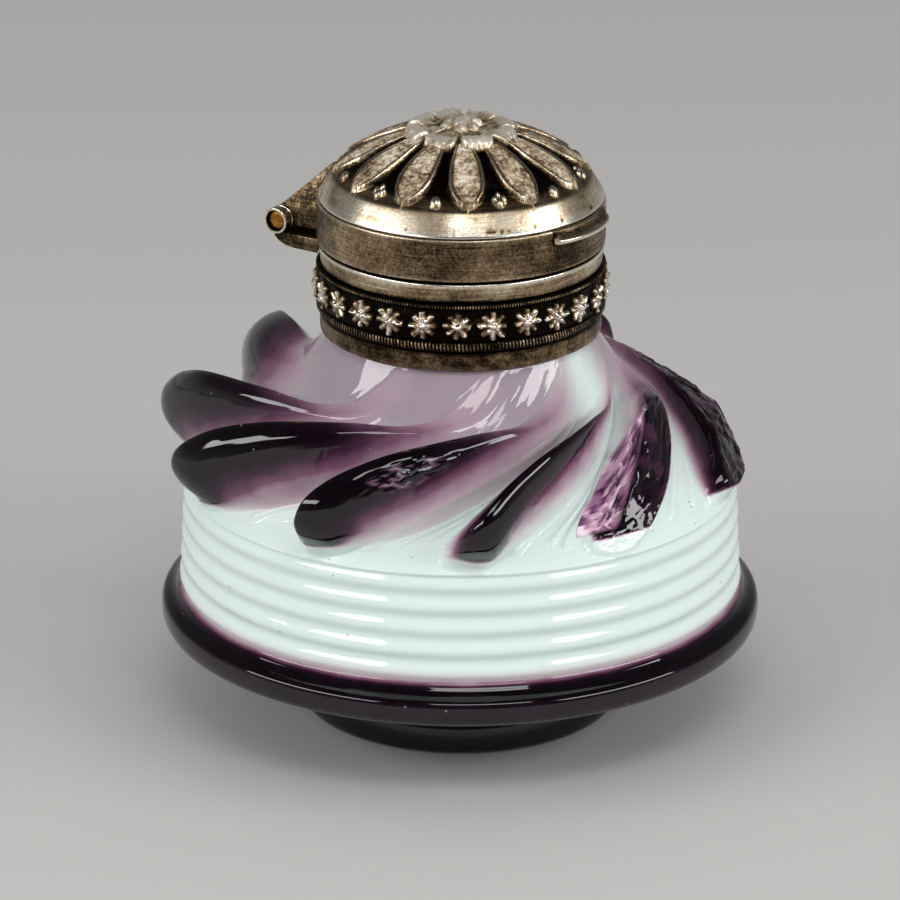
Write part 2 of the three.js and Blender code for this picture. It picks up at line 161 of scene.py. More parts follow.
# The backdrop is what is seen, mirrored or seen through glass. An even fill lights the rest.
rays = add_node(tree, "LightPath").outputs
seen = rays["Is Camera Ray"]
for kind in ("Is Glossy Ray", "Is Transmission Ray"):
    seen = add_node(tree, "Math", {0: seen, 1: rays[kind]}, operation="MAXIMUM")
fill = add_node(tree, "Background", {"Color": linear("FFFFFF"), "Strength": .5})
outward = add_node(tree, "TexCoord").outputs["Generated"]
view = add_node(tree, "SeparateXYZ", {0: outward})
sweep = add_node(tree, "ValToRGB", {"Fac": view.outputs["Z"]}, stops=[
    (0, "A4A4A3"), (1, "303030"), (.12, "8C8C8C"), (.4, "565656")])
toward = add_node(tree, "VectorMath", {0: outward, 1: turn @ Vector((0, -1, 0))},
                  operation="DOT_PRODUCT")
room = add_node(tree, "MapRange", {0: toward.outputs["Value"], 1: .1, 2: .8, 3: 0.0, 4: .85})
dimmed = add_node(tree, "Mix", {0: room, 6: sweep, 7: linear("262626")},
                  data_type="RGBA")
backdrop = add_node(tree, "Background", {"Color": dimmed.outputs[2], "Strength": 1.0})
both = add_node(tree, "MixShader", {0: seen, 1: fill, 2: backdrop})
add_node(tree, "OutputWorld", {"Surface": both})

# %% Soft boxes
BOX_DISTANCE, HALF_WAY_UP = .55, Vector((0, 0, .03))          # in metres


def soft_box(name, bearing, elevation, wide, high, watts):
    """A soft box, sized in degrees as the bottle sees it. Bearing 0 is right in the photograph."""
    lamp = bpy.data.lights.new(name, "AREA")
    lamp.shape = "RECTANGLE"
    lamp.size, lamp.size_y = (
        2 * BOX_DISTANCE * math.tan(math.radians(seen_as / 2)) for seen_as in (wide, high))
    lamp.energy = watts
    box = add_object(name, lamp)
    a, e = math.radians(bearing), math.radians(elevation)
    away = turn @ Vector((math.cos(a) * math.cos(e), math.sin(a) * math.cos(e), math.sin(e)))
    box.location = away * BOX_DISTANCE + HALF_WAY_UP
    box.rotation_mode = "QUATERNION"
    box.rotation_quaternion = away.to_track_quat("Z", "Y")


soft_box("left_window", -150, 27, 52, 11, 1.3)
soft_box("right_window", -26, 27, 46, 11, 1.25)
soft_box("ceiling_light", -80, 51, 30, 12, .6)

# %% [markdown]
# ## Meshes laced from rows
#
# A turned or blown piece is easiest to describe as rows of points from bottom to top. Lacing
# joins each row to the next, also where the next row has fewer points or is a single one, so
# that detail costs faces only where the eye needs them.


# %% Lacing helpers
def lace(rows, closed):
    """Faces between rows of points. Rows go up on the outside; each row is a list of points."""
    counts = [len(row) for row in rows]
    starts = np.concatenate([[0], np.cumsum(counts)]).tolist()
    faces = []
    for i in range(len(rows) if closed else len(rows) - 1):
        k = (i + 1) % len(rows)
        low, high, a, b = counts[i], counts[k], starts[i], starts[k]
        steps = min(low, high) if min(low, high) > 1 else max(low, high)
        for j in range(steps):
            if low == 1:
                faces.append((a, b + (j + 1) % high, b + j))
            elif high == 1:
                faces.append((a + j, a + (j + 1) % low, b))
            else:
                m, n = low // steps, high // steps
                lower = [a + (j * m + t) % low for t in range(m + 1)]
                upper = [b + (j * n + t) % high for t in range(n + 1)]
                faces.append(tuple(lower + upper[::-1]))
    return faces


def add_piece(name, mesh, body, node):
    """Show a mesh, smooth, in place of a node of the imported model. It rides on that body."""
    mesh.polygons.foreach_set("use_smooth", [True] * len(mesh.polygons))
    piece = add_object(name, mesh)
    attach(piece, body)
    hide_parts(node)
    print(name, len(mesh.vertices), "points,", len(mesh.polygons), "faces")
    return piece


def make_piece(name, rows, body, node, finish, marks=None, closed=False):
    """A piece laced from rows in mm. Each mark has a value for every point, in the same order."""
    mesh = bpy.data.meshes.new(name)
    points = np.concatenate([np.reshape(row, (-1, 3)) for row in rows])
    mesh.from_pydata((points * MM).tolist(), [], lace(rows, closed))
    for mark, lists in (marks or {}).items():
        values = np.concatenate([np.ravel(values) for values in lists]).astype(float)
        mesh.attributes.new(mark, "FLOAT", "POINT").data.foreach_set("value", values)
    mesh.materials.append(finish)
    return add_piece(name, mesh, body, node)


def round_rows(r, z, angle):
    """Rows of points at these radii and heights round the z axis."""
    r, z, angle = np.broadcast_arrays(*(np.asarray(v, float) for v in (r, z, angle)))
    return np.stack([r * np.cos(angle), r * np.sin(angle), z], -1)


def turned(outline, angle):
    """Rows of points round the z axis, from an outline that starts with radius and height."""
    return round_rows(outline[:, :1], outline[:, 1:2], angle)


def on_axis(z):
    """A row of a single point, to close a turned piece with."""
    return np.array([[0, 0, z]])


def flowing(keys, values, at):
    """Values on a smooth curve that runs through the listed ones."""
    keys, values, at = (np.asarray(v, float) for v in (keys, values, at))
    slopes = np.gradient(values, keys)
    i = np.clip(np.searchsorted(keys, at) - 1, 0, len(keys) - 2)
    span = keys[i + 1] - keys[i]
    t = np.clip((at - keys[i]) / span, 0, 1)
    start = (1 + 2 * t) * (1 - t) ** 2 * values[i] + t * (1 - t) ** 2 * span * slopes[i]
    return start + t * t * (3 - 2 * t) * values[i + 1] + t * t * (t - 1) * span * slopes[i + 1]


def step(low, high, value):
    """0 below low, 1 above high and a soft S between them."""
    t = np.clip((np.asarray(value, float) - low) / (high - low), 0, 1)
    return t * t * (3 - 2 * t)


def within(a, b, c, d, value):
    """1 from b to c, falling softly to 0 at a and at d."""
    return step(a, b, value) * (1 - step(c, d, value))


def scatter(cells, seed):
    """A fixed random number from 0 to 1 for each whole-numbered cell."""
    raw = np.sin(cells @ np.array([127.1, 311.7, 74.7]) + 13.7 * seed) * 43758.5453
    return raw - np.floor(raw)


def lumps(points, size, seed=0):
    """Smooth random heights from -1 to 1 that change over about this size, in mm."""
    place = np.asarray(points, float) / size + 40
    cell = np.floor(place)
    t = place - cell
    t = t * t * (3 - 2 * t)
    total = np.zeros(place.shape[:-1])
    for corner in product((0, 1), repeat=3):
        weight = np.prod(np.where(np.array(corner) == 1, t, 1 - t), axis=-1)
        total += weight * (2 * scatter(cell + corner, seed) - 1)
    return total


def chips(points, size, seed=0):
    """Flat facets of random tilt, as in broken glass: each point's height and facet number."""
    place = np.asarray(points, float) / size + 40
    cell = np.floor(place)
    nearest = np.full(place.shape[:-1], 9.0)
    height, number = np.zeros_like(nearest), np.zeros_like(nearest)
    for corner in product((-1, 0, 1), repeat=3):
        one = cell + corner
        seeds = np.stack([scatter(one, seed + k) for k in range(3)], -1)
        offset = place - one - seeds
        far = np.linalg.norm(offset, axis=-1)
        closer = far < nearest
        tilt = np.stack([scatter(one, seed + 5 + k) for k in range(3)], -1) - .5
        nearest = np.where(closer, far, nearest)
        height = np.where(closer, (offset * tilt).sum(-1) + scatter(one, seed + 9) - .5, height)
        number = np.where(closer, scatter(one, seed + 10), number)
    return height, number


# %% [markdown]
# ## Cased glass: opal under amethyst
#
# Opal glass is glass clouded with tiny crystals. Light sinks a millimetre or so into it before
# it comes back, so it looks soft and slightly green, and its fire-polished skin is as glossy as
# any glass. Amethyst glass is clear glass stained with manganese. Over the opal it is lilac where
# it is a film, purple at half a millimetre and near black at two. The mesh says how thick it is
# at every point, so one finish covers the whole bottle.

# %% Finish of the cased glass
GLASS_IOR = 1.52
cased_glass, tree, shader = new_finish(
    "cased_opal_and_amethyst_glass", IOR=GLASS_IOR, Subsurface_Weight=.3,
    Subsurface_Radius=(1.0, 1.1, 1.1), Subsurface_Scale=1.2 * MM)
place = add_node(tree, "TexCoord").outputs["Object"]
amethyst, film, broken, facet = (
    add_node(tree, "Attribute", attribute_name=mark).outputs["Fac"]
    for mark in ("amethyst", "film", "broken", "facet"))

# The amethyst skin drifts a little in thickness, over about 3 mm.
drift = add_node(tree, "TexNoise", {"Vector": place, "Scale": 1 / (3 * MM), "Detail": 2.0})
uneven = add_node(tree, "MapRange", {0: drift, 1: .3, 2: .7, 3: .9, 4: 1.1})
thick = add_node(tree, "Math", {0: amethyst, 1: uneven}, operation="MULTIPLY")
stain = add_node(tree, "ValToRGB", {"Fac": thick}, stops=[
    (0, "DFEEEA"), (1, "080408"), (.1, "DFD9DA"), (.26, "BBA3AF"), (.44, "754D63"),
    (.6, "3B1E33"), (.76, "1C0B18")])
# Broken faces are pink crumbs of random tone in facets, and the palest facets are painted glints.
crumbs_and_glints = add_node(tree, "ValToRGB", {"Fac": facet}, stops=[
    (0, "3E2039"), (1, "FBEBF2"), (.3, "7F5076"), (.6, "B384A2"), (.85, "DDB6CC")])

# Grit and dust in the glass and on it: a dot every few millimetres, grey on black and on white.
dots = add_node(tree, "TexVoronoi", {"Vector": place, "Scale": 1 / (1.7 * MM)})
dot = add_node(tree, "MapRange", {0: dots, 1: .045, 2: .075, 3: 1.0, 4: 0.0})
lot = add_node(tree, "SeparateColor", {0: dots.outputs["Color"]})
some = add_node(tree, "Math", {0: lot, 1: .62}, operation="GREATER_THAN")
speck = add_node(tree, "Math", {0: dot, 1: some}, operation="MULTIPLY")

# The mauve film, the crumbled faces with their painted glints and the specks lie over the stain, in
# that order.
colour = stain
for share, over in ((film, linear("8F7082")), (broken, crumbs_and_glints), (speck, linear("8A807A"))):
    colour = add_node(tree, "Mix", {0: share, 6: colour, 7: over}, data_type="RGBA").outputs[2]
tree.links.new(colour, shader.inputs["Base Color"])

# Fire-polished glass is very smooth; handling has left a faint haze, and breaks are rougher.
haze = add_node(tree, "TexNoise", {"Vector": place, "Scale": 1 / (1.5 * MM), "Detail": 4.0})
polish = add_node(tree, "MapRange", {0: haze, 1: .35, 2: .75, 3: .03, 4: .075})
rough = add_node(tree, "Mix", {0: broken, 2: polish, 3: .2})
feed(tree, shader, Roughness=rough)

# %% [markdown]
# ## The bottle's outside
#
# The gaffer pinched ten petals out of the thick skin and twisted them, so the shoulder is
# described by two lines from the rim to the neck: one along the bottom of a valley and one along
# the crest of a petal, with the twist that both share. A profile across the petal blends one
# into the other. The petal's left side is crisp, its right side runs out softly into the valley.

# %% The shoulder's two lines, in mm, and the twist in degrees
PETALS, FIRST_RIDGE = 10, -71
APART = 360 / PETALS
MARKS = np.arange(16)
VALLEY = np.array([
    (27.6, 23.9), (27.2, 24.3), (26.8, 24.7), (26.3, 25.1), (25.8, 25.6), (25.2, 26.1),
    (24.5, 26.7), (23.5, 27.5), (22.2, 28.6), (20.6, 29.9), (18.9, 31.5), (17.2, 33.3),
    (15.7, 35.1), (14.5, 37.0), (13.6, 38.6), (13.2, 39.35)])
RIDGE = np.array([
    (27.6, 23.9), (27.6, 24.5), (28.4, 25.7), (29.8, 27.2), (30.6, 28.9), (30.4, 30.6),
    (29.3, 32.1), (27.6, 33.6), (25.4, 34.8), (22.9, 35.4), (20.2, 35.5), (17.8, 35.1),
    (15.9, 35.7), (14.55, 37.2), (13.6, 38.65), (13.2, 39.35)])
TWIST = np.array([0, 0, 0, 0, 0, .8, 3, 7.5, 14.5, 24, 36, 50, 62, 70, 75, 77])
# How many degrees wide a petal's steep wall and its soft flank are at each mark.
WALL = np.array([1.5, 2.6, 3.3, 3.4, 3.3, 3.3, 3.5, 3.8, 4.2, 4.5, 4.6, 4.4, 3.8, 3, 2, 1])
FLANK = np.array([2, 3.5, 6, 9, 12.5, 15.5, 18, 19.5, 20, 19.5, 18.5, 17, 15, 12, 8, 5])

# %% Rows along the shoulder and columns across a petal
row_counts = [5, 6, 6, 5, 5, 6, 6, 8, 9, 11, 11, 9, 7, 6, 5]
mark = np.concatenate([i + np.arange(n) / n for i, n in enumerate(row_counts)] + [[15.0]])
valley_r, valley_z, ridge_r, ridge_z, twist, wall, flank = (
    flowing(MARKS, line, mark)[:, None]
    for line in (*VALLEY.T, *RIDGE.T, TWIST, WALL, FLANK))
COLUMNS = 72
on_wall = np.array([-1.15, -1, -.86, -.73, -.61, -.5, -.4, -.32, -.25, -.19, -.14, -.1, -.065,
                    -.04, -.018])
share = np.arange(COLUMNS - len(on_wall)) / (COLUMNS - len(on_wall))
spread = np.maximum(2.4 * wall, 3)
next_wall = APART + on_wall[0] * spread                 # where the next petal's wall begins
across = np.hstack([on_wall * spread, share * next_wall])               # degrees from the ridge
along, aside = mark[:, None, None], across[:, None, :]
print("shoulder:", len(mark), "rows of", COLUMNS * PETALS, "points")

# %% Profile across each petal: how far it stands out of the valley, from 0 to 1
tips = FIRST_RIDGE + APART * np.arange(PETALS)
plump = np.array([1, 1, .95, 1, 1, 1, 1.02, .92, .62, .85])[:, None]   # no two are equally wide
stray = np.array([-2, 0, 1, -1, 1, 1.5, 1, 1.2, -.6, -5])              # nor 36 degrees apart
curl = np.array([0, -.08, -.2, -.38, -.6, 0, 0, 0, 0, -.25])           # some twist less,
cover = np.array([1, 1, 1, 1, 1.45, 1.2, 1.2, 1.08, 1, 1.1])[:, None]  # are dark further down
lean = np.array([2.3, 1.3, 1, 1.2, 2.2, 1, 1, 1, 2.2, 2.2])[:, None]   # or lean on the left
up_wall = aside / (wall[:, :, None] * lean)
down_flank = aside / (flank[:, :, None] * plump)
crisp = np.interp(up_wall, [-1, -.85, -.6, -.35, -.15, -.04, 0], [0, .12, .38, .66, .87, .97, 1])
round_nose = np.interp(up_wall, [-1, -.8, -.6, -.4, -.2, 0], [0, .35, .64, .84, .96, 1])
left = round_nose + (crisp - round_nose) * step(3.5, 6.5, along)
soft = np.interp(down_flank, np.arange(11) / 10,
                 [1, 1, .98, .945, .89, .81, .7, .55, .36, .15, 0])
hard = np.interp(down_flank, [0, .1, .2, .35, .5, .65, .8, .9, 1],
                 [1, 1, .985, .94, .86, .72, .48, .26, 0])
softness = step(1.8, 5.5, along)
w = np.where(aside < 0, left, hard + (soft - hard) * softness)

# %% Skin: how thick the amethyst is on every petal
up = np.interp(left, [0, .15, .35, .6, .8, .93, 1], [0, .05, .17, .34, .58, .84, 1])
for petal in (0, 4):                                                # these are dark all round
    up[:, petal] = np.interp(left[:, petal], [0, .1, .25, .4, 1], [0, .35, .8, .95, 1])
lower_flank = down_flank / cover
fade = np.interp(lower_flank, [0, .4, .5, .6, .72, .86, 1.0], [1, 1, .82, .58, .34, .13, 0])
cut = 1 - step(.6, .85, lower_flank)
skin = np.where(aside < 0, up, cut + (fade - cut) * softness)

# The dark glass begins at a chin under the nose, in the shape of a leaf's tip, and thins out
# towards the neck, where a mauve film takes its place.
chin = np.array([2, 1.4, 1.4, 1.4, 1.2, 1.2, 1.3, 1.7, 1.6, 3.4])[:, None]
chin = chin + .2 * (np.sqrt(np.minimum(aside ** 2, 120) + 6) - 2.4)
nose = step(chin - .1, chin + .6, along)
tail = np.interp(along, [0, 8, 9, 10, 11, 12, 13, 15], [1, 1, .86, .62, .4, .24, .14, .08])
skin = skin * nose * tail
mauve = np.interp(along, [0, 5, 8, 10, 12, 15], [0, .03, .14, .55, .8, .82])
mauve = mauve * (1 - np.clip(1.3 * skin, 0, 1))

# %% [markdown]
# Between the petals the tool left a few long shallow flutes with sharp ridges, which carry thin
# streaks of light from the neck down to the rim. No two gaps have quite the same ones.

# %% Flutes in the valleys
FLUTES, FLUTE_HEIGHT = 4, .48                                   # in each gap, and in mm
gap_start = .72 * flank[:, :, None] * plump
in_gap = (aside - gap_start) / (APART - wall[:, :, None] - gap_start)
flute = np.zeros_like(w)
for i in range(FLUTES):
    chance = [scatter(np.array([(petal, i, k) for petal in range(PETALS)]), 2)[:, None]
              for k in range(3)]
    at = .14 + .24 * i + .07 * (chance[0] - .5)
    first, last = 2.2 + 2.5 * chance[1], 9 + 4 * chance[2]
    crest = np.clip(1 - np.abs(in_gap - at) / .08, 0, 1) ** 1.2
    flute += FLUTE_HEIGHT * crest * within(first, first + 1.2, last - 2, last, along)
print("flutes:", FLUTES * PETALS, "up to", round(float(flute.max()), 2), "mm high")


# %% Put the ten petals round the shoulder
def into_next(each, share):
    """Each petal's value, which runs over into the next petal's."""
    return each[:, None] + (np.roll(each, -1) - each)[:, None] * share


unwind = into_next(curl, np.clip(aside / next_wall[:, None], 0, 1)) * twist[:, :, None]
sway = unwind + into_next(stray, step(flank, next_wall, across)[:, None, :])
angle = np.radians(tips[None, :, None] + (twist + across)[:, None, :] + sway)
push_r, push_z = (ridge_r - valley_r)[:, :, None], (ridge_z - valley_z)[:, :, None]


def on_shoulder(w):
    """Radius, height and place of the points this far from the valley towards the ridge."""
    r = valley_r[:, :, None] + w * push_r
    z = valley_z[:, :, None] + w * push_z
    return r, z, round_rows(r, z, angle)


radius, height, points = on_shoulder(w)

# %% [markdown]
# ## The damage
#
# Three neighbouring petals have been knocked. One has lost its whole nose, one has a jagged
# crest, and one shows a pink crumbling face. A break takes away all glass above a cone that
# falls outwards, and its face is roughened with facets, as glass breaks.

# %% Break the petals
# A break lists its petal, how far behind the nose and how deep under the crest it starts, in
# mm, how steeply it falls, in degrees, and how rough it is.
NOSE, TAIL = 30.8, 14.5
RIM_Z, NOSE_RISE, TAIL_RISE, CROWN = 23.75, 11.85, 5.2, 3.5
BREAKS = [(0, 14.5, .9, 28, .22), (0, 6, 2.4, 55, .3), (1, 16, 1.5, 45, .3), (9, 9.5, .4, 58, .16)]
CRUMBLED, NICKED = 9, 7
broken, facets, glassy = np.zeros_like(w), np.zeros_like(w), np.zeros_like(w)
for petal, inset, depth, slope, rough in BREAKS:
    start, part = NOSE - inset, 1 - inset / (NOSE - TAIL)
    high = RIM_Z + NOSE_RISE + (TAIL_RISE - NOSE_RISE) * part + CROWN * (.35 + .65 * part) - depth
    fall = math.tan(math.radians(slope))
    glass = points[:, petal]
    bump, number = chips(glass, 2.0, petal)
    fine, _ = chips(glass, .7, petal + 3)
    bump = rough * (bump + .5 * fine + .6 * lumps(glass, 3, petal))
    over = valley_z - high + bump + (valley_r - start) * fall
    gain = (push_z + push_r * fall)[:, 0]
    limit = np.clip(-over / np.maximum(gain, 1e-6), 0, 1)
    kept = np.where(radius[:, petal] > start, np.minimum(w[:, petal], limit), w[:, petal])
    lost = (w[:, petal] - kept) * np.hypot(push_r, push_z)[:, 0]
    glassy[:, petal] = np.maximum(glassy[:, petal], step(.05, .3, lost))
    facets[:, petal] = np.where(lost > .05, number, facets[:, petal])
    w[:, petal] = kept
glassy[:, CRUMBLED] *= step(3.2, 3.9, mark)[:, None]


def crumble(petal, where, depth, torn, number, least):
    """Take some of a petal's height away there, and mark the face as torn and in facets."""
    w[:, petal] = np.clip(w[:, petal] - where * depth, 0, 1)
    broken[:, petal] = np.maximum(broken[:, petal], torn)
    facets[:, petal] = np.where(where > least, number, facets[:, petal])


# The crumbled face: the petal's left wall is scooped out from the nose to half way.
scoop = np.interp(across, [-12, -9, -.5, 1], [0, 1, 1, 0])
scoop = scoop * within(4.2, 5.4, 8.8, 10, mark)[:, None]
bump, number = chips(points[:, CRUMBLED], 1.1, 21)
fine, _ = chips(points[:, CRUMBLED], .45, 22)
crumble(CRUMBLED, scoop, .24 + .2 * bump + .07 * fine, step(.15, .5, scoop), number, .15)

# A nick in a petal's back, no deeper than a fingernail, in small facets; some of them are painted
# pale as glints.
nick = np.exp(-((mark[:, None] - 7.5) / 1.0) ** 2 - ((across - 8) / 3.2) ** 2)
bump, number = chips(points[:, NICKED], .6, 31)
crumble(NICKED, nick, .03 + .06 * bump, .3 * step(.3, .6, nick) * (number > .55), number, .3)
radius, height, points = on_shoulder(w)
print("broken share of the shoulder:", round(float(broken.mean()), 3))

# %% Lay the flutes and the hand-made unevenness over the shoulder
slope_r, slope_z = np.gradient(valley_r[:, 0]), np.gradient(valley_z[:, 0])
steep = np.hypot(slope_r, slope_z)
lift_r, lift_z = (slope_z / steep)[:, None, None], (-slope_r / steep)[:, None, None]
wave = .05 * lumps(points, 5) + .02 * lumps(points, 2, 1)
wave = wave * within(.5, 2, 13, 14.5, along)
# Near the neck the glass was dragged round while soft, which left fine streaks along the twist.
before = np.radians(tips[None, :, None] + aside)
drawn = np.stack(np.broadcast_arrays(40 * np.cos(before), 40 * np.sin(before), .7 * along), -1)
streaks = .045 * lumps(drawn, 2.4, 12) + .015 * lumps(drawn, 1, 13)
wave = wave + streaks * within(8, 10.5, 13.8, 14.8, along)
raise_by = (flute + wave) * (1 - np.maximum(broken, glassy))
radius, height = radius + raise_by * lift_r, height + raise_by * lift_z

# %% Amethyst, film and breaks at every point of the shoulder
# A clean break through the thick skin is dark purple glass in large shining facets.
amethyst = skin * (1 - glassy) + glassy * np.clip(.6 + .5 * facets, 0, 1) * step(13, 9, along)
amethyst = amethyst * (1 - .55 * broken)
# The film leaves a bare patch under the thumb-lift.
PATCH_AT, PATCH_WIDE = -91, 14
patch = np.exp(-((np.degrees(angle) - PATCH_AT + 180) % 360 - 180) ** 2 / PATCH_WIDE ** 2)
filmed = mauve * (1 - .9 * patch) * (1 - broken)
shoulder_rows = round_rows(radius, height, angle).reshape(len(mark), -1, 3)
shoulder_marks = [v.reshape(len(mark), -1) for v in (amethyst, filmed, broken, facets)]

# %% [markdown]
# ## Drum, flange and foot
#
# Below the rim the bottle is turned: five soft rings on the drum, a wide dark flange with a thin
# bright arris, and a short foot. The rings were drawn by hand in hot glass, so they wander by a
# few hundredths of a millimetre, and that is what breaks the lights on them into wavy bars.

# %% Profile from the foot to the rim
foot_and_flange = [
    (10, .2), (10.8, 0), (13, 0), (15.3, 0), (15.8, .18), (16.15, .6), (16.3, 1.2), (16.25, 2.6),
    (15.95, 3.6), (15.7, 4.2), (15.9, 4.8), (16.7, 5.4), (18.5, 5.95), (21, 6.65), (24, 7.5),
    (27, 8.35), (28.6, 8.8), (29.3, 9.0), (29.72, 9.3), (29.93, 9.75), (29.99, 10.3), (29.97, 10.9),
    (29.9, 11.25), (29.8, 11.45), (29.62, 11.6), (29.35, 11.72), (29.0, 11.88), (28.65, 12.12),
    (28.4, 12.4), (28.22, 12.72)]
RINGS, RING_ROWS, RING_HEIGHT = 5, 9, 2.2
drum = []
for i, j in product(range(RINGS), range(RING_ROWS)):
    part = (j + .5) / RING_ROWS
    t = 2 * part - 1
    crest = 28.2 - .6 * (i + part) / RINGS
    groove = .17 * (1 - math.cos(math.pi * t)) + .04 * abs(t) ** 3
    drum.append((crest - groove, 12.75 + RING_HEIGHT * (i + part)))
lower = np.array(foot_and_flange + drum)

# %% Lower rows, with every third column of the shoulder's first row
COARSE = 3
low_angle = angle[0].ravel()[::COARSE]
ring = turned(lower, low_angle)
hand = step(12.7, 13.5, lower[:, 1])[:, None]
wander = hand * sum(
    depth * lumps(ring * (1, 1, flat), size, seed)
    for depth, flat, size, seed in ((.04, 2.5, 9, 4), (.022, 3, 4, 5), (.014, 5, 3, 6)))
ring[..., :2] *= 1 + (wander / lower[:, :1])[..., None]
low_skin = np.interp(
    lower[:, 1], [0, 9.1, 9.4, 11.3, 11.55, 12.0, 12.35, 12.6, 12.85, 13.1, 13.5, 14.4],
    [1, 1, .84, .84, 1, 1, .92, .66, .34, .16, .08, 0])
low_marks = [np.repeat(low_skin[:, None], len(low_angle), 1)] + [np.zeros_like(wander)] * 3

# %% [markdown]
# ## Inside of the bottle
#
# The neck's top and bore show when the lid is open. The bore is ground to a slight taper for
# the stopper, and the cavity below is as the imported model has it.

# %% Neck, mouth, bore and cavity
inner = np.array([
    (12.32, 39.5), (12.3, 40.5), (12.3, 46.1), (12.2, 46.45), (11.95, 46.7), (11.6, 46.8),
    (8, 46.8), (5.6, 46.8), (5.3, 46.72), (5.2, 46.5), (4.8, 38.4), (4.42, 38.2), (4.4, 37.4),
    (4.4, 29.4), (5, 28.9), (8, 26), (12, 23.6), (16.5, 21.6), (20, 20.4), (22.6, 19), (23.6, 17),
    (23.6, 14.3), (22.4, 11.7), (20.5, 10.4), (18.6, 10), (9, 8), (3, 7.1)])
FINE = 10
high_angle = angle[-1].ravel()[::FINE]
well = turned(inner, high_angle)

# %% Lace the bottle together
rows = [on_axis(.2), *ring, *shoulder_rows, *well, on_axis(7.0)]
plain = np.zeros(well.size // 3 + 1)
marks = {name: [name == "amethyst", low, high, plain] for name, low, high in zip(
    ("amethyst", "film", "broken", "facet"), low_marks, shoulder_marks)}
make_piece("cased_glass_bottle", rows, "bottle", "glass_bottle", cased_glass, marks)

# %% [markdown]
# ## Silver
#
# The mount is sterling silver that nobody has polished for years. It has gone brown and then
# black wherever a finger or a cloth can't reach, and stays pale on every edge that is rubbed.
# Turned bands keep the fine marks of the brush that ran round them. Each mesh marks its own
# hollows and its worn edges, and the finish turns those marks into tarnish and shine.


# %% Finishes of the silver
def aged_silver(name, pale, brushed, patch, ramp):
    """Tarnished metal: how pale it is, how strong its brush marks are, how large its patches are
    in mm, and its colours from dirty to bare."""
    material, tree, shader = new_finish(name, Metallic=1.0)
    place = add_node(tree, "TexCoord").outputs["Object"]
    hollow, wear, matted = (
        add_node(tree, "Attribute", attribute_name=mark).outputs["Fac"]
        for mark in ("hollow", "wear", "matted"))
    parts = add_node(tree, "SeparateXYZ", {0: place})
    front = add_node(tree, "Math", {0: parts.outputs["Y"], 1: -1.0}, operation="MULTIPLY")
    bearing = add_node(tree, "Math", {0: parts.outputs["X"], 1: front}, operation="ARCTAN2")
    track = add_node(tree, "CombineXYZ", {"X": bearing, "Y": parts.outputs["Z"]})

    # Brush marks run round the mount, about 5 mm long and a seventh of a millimetre apart.
    stretched = add_node(tree, "VectorMath", {0: track, 1: (2.8, 1 / (.14 * MM), 0)},
                         operation="MULTIPLY")
    brush = add_node(tree, "TexNoise", {"Vector": stretched, "Scale": 1.0, "Detail": 3.0})
    stains = add_node(tree, "TexNoise", {
        "Vector": place, "Scale": 1 / (patch * MM), "Detail": 6.0, "Roughness": .62})
    grains = add_node(tree, "TexNoise", {
        "Vector": place, "Scale": 1 / (.3 * MM), "Detail": 3.0, "Roughness": .7})
    tone = 0.0
    for noise, low, high, middle, swing in (
            (stains, .32, .68, pale, .22), (brush, .3, .7, 0, brushed), (grains, .3, .7, 0, .14)):
        share = add_node(tree, "MapRange", {
            0: noise, 1: low, 2: high, 3: middle - swing, 4: middle + swing})
        tone = add_node(tree, "Math", {0: share, 1: tone}, operation="ADD")
    for mark, amount in ((wear, .5), (hollow, -.85)):
        tone = add_node(tree, "Math", {0: mark, 1: amount, 2: tone}, operation="MULTIPLY_ADD")
    colour = add_node(tree, "ValToRGB", {"Fac": tone}, stops=ramp)
    feed(tree, shader, Base_Color=colour)

    # Tarnish is dull. Bare silver is brighter, but far from a mirror after years of handling.
    rough = add_node(tree, "MapRange", {0: tone, 1: 0.0, 2: 1.0, 3: .5, 4: .23})
    rough = add_node(tree, "Mix", {0: matted, 2: rough, 3: .6})
    feed(tree, shader, Roughness=rough)

    # Matted ground keeps a film of dirt and lacquer in its pits, which scatters light like paint.
    bare = add_node(tree, "MapRange", {0: matted, 3: 1.0, 4: .3})
    feed(tree, shader, Metallic=bare)
    relief = add_node(tree, "Math", {0: brush, 1: brushed * 2, 2: grains},
                      operation="MULTIPLY_ADD")
    bump = add_node(tree, "Bump", {"Height": relief, "Strength": .35, "Distance": .03 * MM})
    feed(tree, shader, Normal=bump)
    return material


# Silver under tarnish runs from sooty black through brown to almost white.
BROWN = [(0, "120E09"), (1, "F8EFE0"), (.2, "3E3223"), (.42, "857056"), (.62, "BAA689"),
         (.8, "DFD1BA")]

rubbed_silver = aged_silver("rubbed_and_brushed_silver", .52, .15, 5, BROWN)
band_silver = aged_silver("brown_band_with_brush_marks", .31, .1, 6, BROWN)
stamped_silver = aged_silver("stamped_silver_black_in_the_hollows", .68, .02, 2.5, BROWN)
chased_silver = aged_silver("chased_silver_with_a_rubbed_border", .76, .1, 3, BROWN)
stained_silver = aged_silver("brown_stained_plain_silver", .29, .06, 2.6, BROWN)
wire_silver = aged_silver("milled_silver_wire", .33, .02, 1.2, BROWN)
gilding = aged_silver("worn_gilding_in_the_lid", .6, .1, 6, [
    (0, "3A2810"), (1, "F6DFA0"), (.3, "8A6427"), (.55, "C9A050"), (.8, "E2BF72")])
brass_pin = aged_silver("brown_drawn_brass", .5, 0, .8, [
    (0, "2E1C0A"), (1, "E8BC70"), (.3, "7A5222"), (.55, "B07C36"), (.8, "CF9A4E")])

# %% [markdown]
# ## The collar
#
# The collar is built up from strips round a tube, as a silversmith does it: a plain skirt, a
# roped wire, a strip of stamped stars, a fine toothed wire and a plain flaring rim. Each outline
# below lists radius, height, how hollow and how worn the silver is there.


# %% Turned rings
def circle(count):
    """This many angles evenly round the axis."""
    return np.arange(count) * 2 * math.pi / count


